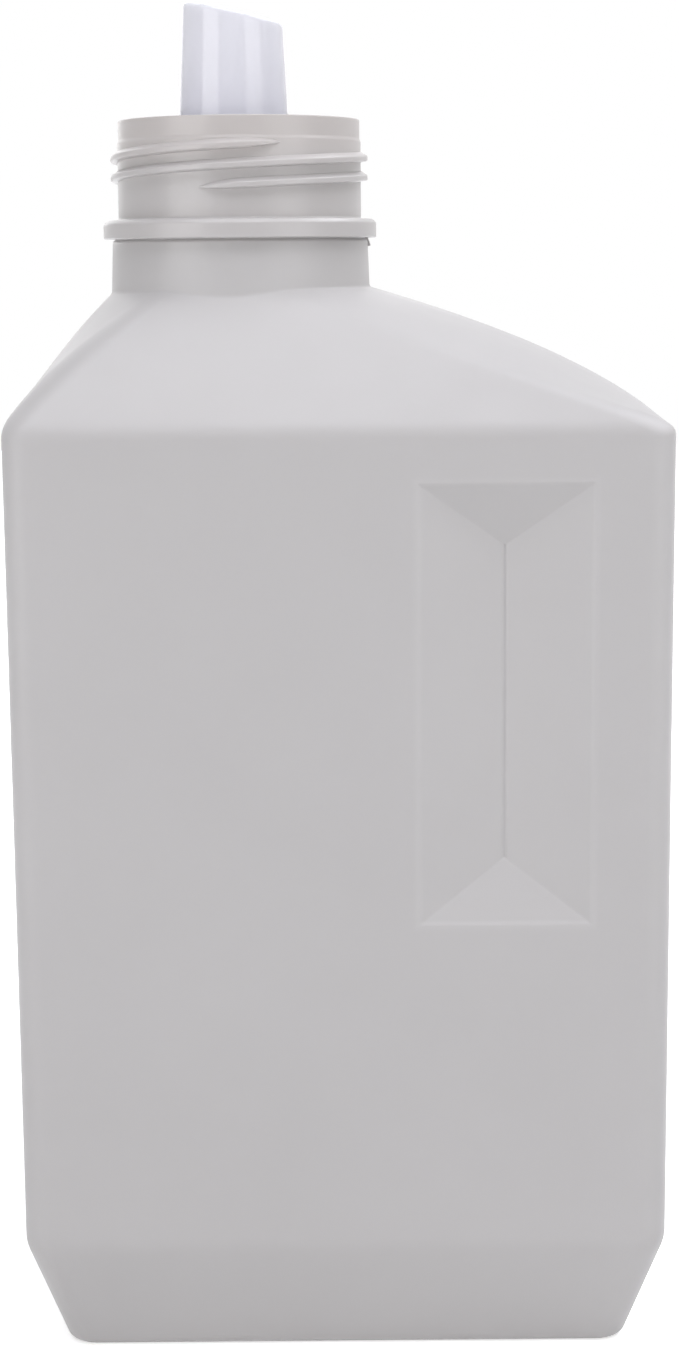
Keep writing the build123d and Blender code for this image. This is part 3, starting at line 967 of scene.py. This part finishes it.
# %% Sizes of the spout
tube_x = neck_offset - 0.9
tube_radius = 9.6
tube_draft = math.tan(math.radians(2.7))
tube_wall = 1.2
tube_cut_level = rim + 18.2
tube_cut_fall = math.tan(math.radians(12.4))
lip_reach, lip_inner_reach = 0.7, 0.3  # of the lip's rounding, outside and inside
skirt_radius = bore_radius - 0.05
well_radius = skirt_radius - 1.3
flange_radius = mouth_radius - 0.05
flange_top = mouth_step + 1.2
flange_soft = 0.25
skirt_row = rim - 8  # the level of a plain row on the skirt and in the well
well_level = rim - 15
well_corner = 0.6
well_fall = math.tan(math.radians(8))
well_floor_thickness = 1.3
drain_height = 7.0
drain_half_angle = 18.75
print("tube", round(2 * tube_radius, 1), "mm wide at the rim and cut off", round(tube_cut_level - rim, 1),
      "mm above it")

# %% Rings about the neck's axis and on the tube's cone
spout_columns = 96
spout_angles = np.arange(spout_columns) * 2 * math.pi / spout_columns


def round_ring(radius, height):
    """Ring about the neck's axis. The height is a function of x."""
    x = neck_offset + radius * np.sin(spout_angles)
    return np.stack([x, -radius * np.cos(spout_angles), height(x)], 1)


def tube_ring(inset, height):
    """Ring on the tube's cone, drawn in by inset. The height is a function of x."""
    z = np.full(spout_columns, rim)
    for _ in range(8):  # the cone narrows upwards, so a slanting cut takes a few rounds to settle
        radius = tube_radius - inset - tube_draft * (z - rim)
        x = tube_x + radius * np.sin(spout_angles)
        z = height(x)
    return np.stack([x, -radius * np.cos(spout_angles), z], 1)


def level(z):
    return lambda x: np.full_like(x, z)


def well_floor(raised=0.0):
    return lambda x: well_level + raised - well_fall * (x - neck_offset)


def cut(lowered=0.0):
    return lambda x: tube_cut_level - lowered - tube_cut_fall * (x - tube_x)


# %% Rings of the spout, in order from the skirt to the underside
tube_shares = np.linspace(0, 1, 8)  # rings along the tube
drain_top = well_level - well_fall * (tube_x + tube_radius - neck_offset) + drain_height
flange_outline = soften([(skirt_radius, skirt_row), (skirt_radius, mouth_step),
                         (flange_radius, mouth_step), (flange_radius, flange_top),
                         (well_radius, flange_top), (well_radius, skirt_row)], flange_soft)
rings = [round_ring(radius, level(z)) for radius, z in flange_outline]
rings += [round_ring(well_radius, well_floor(well_corner)), round_ring(well_radius, well_floor()),
          round_ring(well_radius - well_corner, well_floor())]
window_heights = [well_floor(), well_floor(support), level(drain_top - support), level(drain_top)]
outer_window = len(rings)
rings += [tube_ring(0, height) for height in window_heights]
outer_foot, outer_top = rings[-1], tube_ring(0, cut(lip_reach + support))
rings += [outer_foot + (outer_top - outer_foot) * share for share in tube_shares[1:]]
lip_out, lip_in = tube_ring(lip_reach, cut()), tube_ring(tube_wall - lip_inner_reach, cut())
rings += bend(tube_ring(0, cut(lip_reach)), tube_ring(0, cut()), lip_out, corner_steps)
rings += bend(lip_in, tube_ring(tube_wall, cut()), tube_ring(tube_wall, cut(lip_inner_reach)), corner_steps)
inner_top = tube_ring(tube_wall, cut(lip_reach + support))
inner_foot = tube_ring(tube_wall, level(drain_top))
rings += [inner_top + (inner_foot - inner_top) * share for share in tube_shares[:-1]]
inner_window = len(rings)
rings += [tube_ring(tube_wall, height) for height in window_heights[::-1]]
rings += [tube_ring(tube_wall, well_floor(-well_floor_thickness)),
          round_ring(skirt_radius, well_floor(-well_floor_thickness))]
print("rings of the spout:", len(rings))


# %% Faces of the spout, with the drain window left open through the tube
def spout_faces(ring_count, windows):
    """Faces between neighbouring rings, apart from the windows, and the window's own four sides."""
    count = spout_columns
    middle_column = count // 4
    reach = round(drain_half_angle / (360 / count))
    first, last = middle_column - reach, middle_column + reach
    faces = []
    for row in range(ring_count):
        in_window = any(start <= row < end for start, end in windows)
        skipped = range(first, last) if in_window else ()
        faces += grid_faces(row, (row + 1) % ring_count, count, skipped)
    (outer_bottom, outer_top), (inner_top, inner_bottom) = windows
    outer = hole_loop(outer_bottom, outer_top, first, last, count)
    inner = hole_loop(inner_bottom, inner_top, first, last, count)
    faces += list(zip(outer, inner, inner[1:] + inner[:1], outer[1:] + outer[:1]))
    return faces


window_rows = len(window_heights) - 1
windows = [(outer_window, outer_window + window_rows), (inner_window, inner_window + window_rows)]
spout_points = [point for row in rings for point in row]
spout = make_piece("pour_spout_moulding", spout_points, spout_faces(len(rings), windows))

# %% [markdown]
# ## The spout's plastic
# The spout is injected into a polished mould, so it shines, and light goes some way into the white plastic
# and comes out beside where it went in. Mixing in Translucent would let light through from behind only.
# Subsurface scattering softens every shadow on it, which is what makes it look milky. A faint ripple keeps
# the reflections from being perfect.

# %% Spout plastic: glossy, milky and faintly blue
spout_whites = ((0.775, 0.768, 0.835), (0.80, 0.793, 0.86))
spout_roughness = (0.10, 0.14)
spout_tone_scale, spout_roughness_scale, ripple_scale = 60, 200, 900  # waves for each metre

spout_plastic, tree, place = new_finish("spout_plastic")
drift = noise(tree, place, spout_tone_scale)
uneven = noise(tree, place, spout_roughness_scale)
end_finish(spout_plastic, in_Base_Color=blend_colours(tree, drift, *spout_whites),
           in_Roughness=spread(tree, uneven, *noise_range, *spout_roughness),
           in_Normal=bump(tree, place, ripple_scale, detail=2, strength=0.05, distance=0.1 * mm),
           in_Subsurface_Weight=0.6, in_Subsurface_Radius=(1.0, 1.0, 1.0), in_Subsurface_Scale=4 * mm)
spout.data.materials.append(spout_plastic)

# %% [markdown]
# ## Handing over
# Each piece rides on a body of the CAD frame, so it would move with that body. Nothing moves here, so all
# of them ride on the root. The two skins take the places of the plain CAD solids, while the thread and the
# nib sit on the bottle's skin.

# %% Hand the pieces over to the frame
slots = ((bottle, "bottle_plastic"), (thread, "bottle_plastic"),
         (nib, "bottle_plastic"), (spout, "spout_plastic"))
for piece, slot in slots:
    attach(piece, "root")
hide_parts("bottle")
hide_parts("pour_spout")
print("pieces handed over:", [piece.name for piece, slot in slots])
